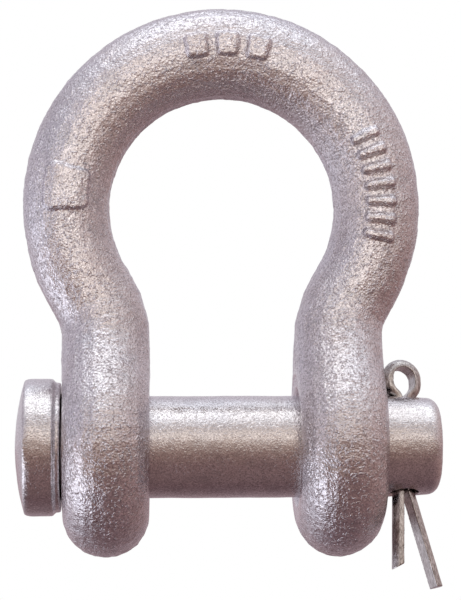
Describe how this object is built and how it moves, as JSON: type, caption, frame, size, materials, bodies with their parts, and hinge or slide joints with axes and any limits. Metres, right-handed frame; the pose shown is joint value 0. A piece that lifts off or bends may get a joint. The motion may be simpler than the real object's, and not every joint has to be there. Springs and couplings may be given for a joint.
{
  "type": "bow shackle",
  "caption": "Forged bow shackle: a rounded bow with two bored ears, a headed round pin through them and a splayed split cotter through the pin's tail",
  "frame": {"origin": "on the pin's axis, midway between the two ears", "axes": "+X along the pin from its head to its tail, +Y through the bow away from the front, +Z from the pin up to the crown"},
  "size_m": [0.0794, 0.041, 0.1095],
  "materials": {
    "forged_zinc": "hot-dip galvanized forging, lumpy and satin",
    "pin_zinc": "galvanized bar, fine-grained satin",
    "cotter_wire": "plain drawn wire, dull grey"
  },
  "bodies": {
    "bow": {"bow": "forged_zinc"},
    "pin": {"round_pin": "pin_zinc"},
    "cotter": {"cotter_pin": "cotter_wire"}
  },
  "joints": [
    {"name": "pin_turn", "type": "hinge", "parent": "bow", "child": "pin", "pos_m": [0, 0, 0], "axis": [1, 0, 0], "continuous": true},
    {"name": "cotter_swivel", "type": "hinge", "parent": "pin", "child": "cotter", "pos_m": [0.03385, 0, 0], "axis": [0, 0.2419, 0.9703], "range_deg": [-105, 60]}
  ]
}
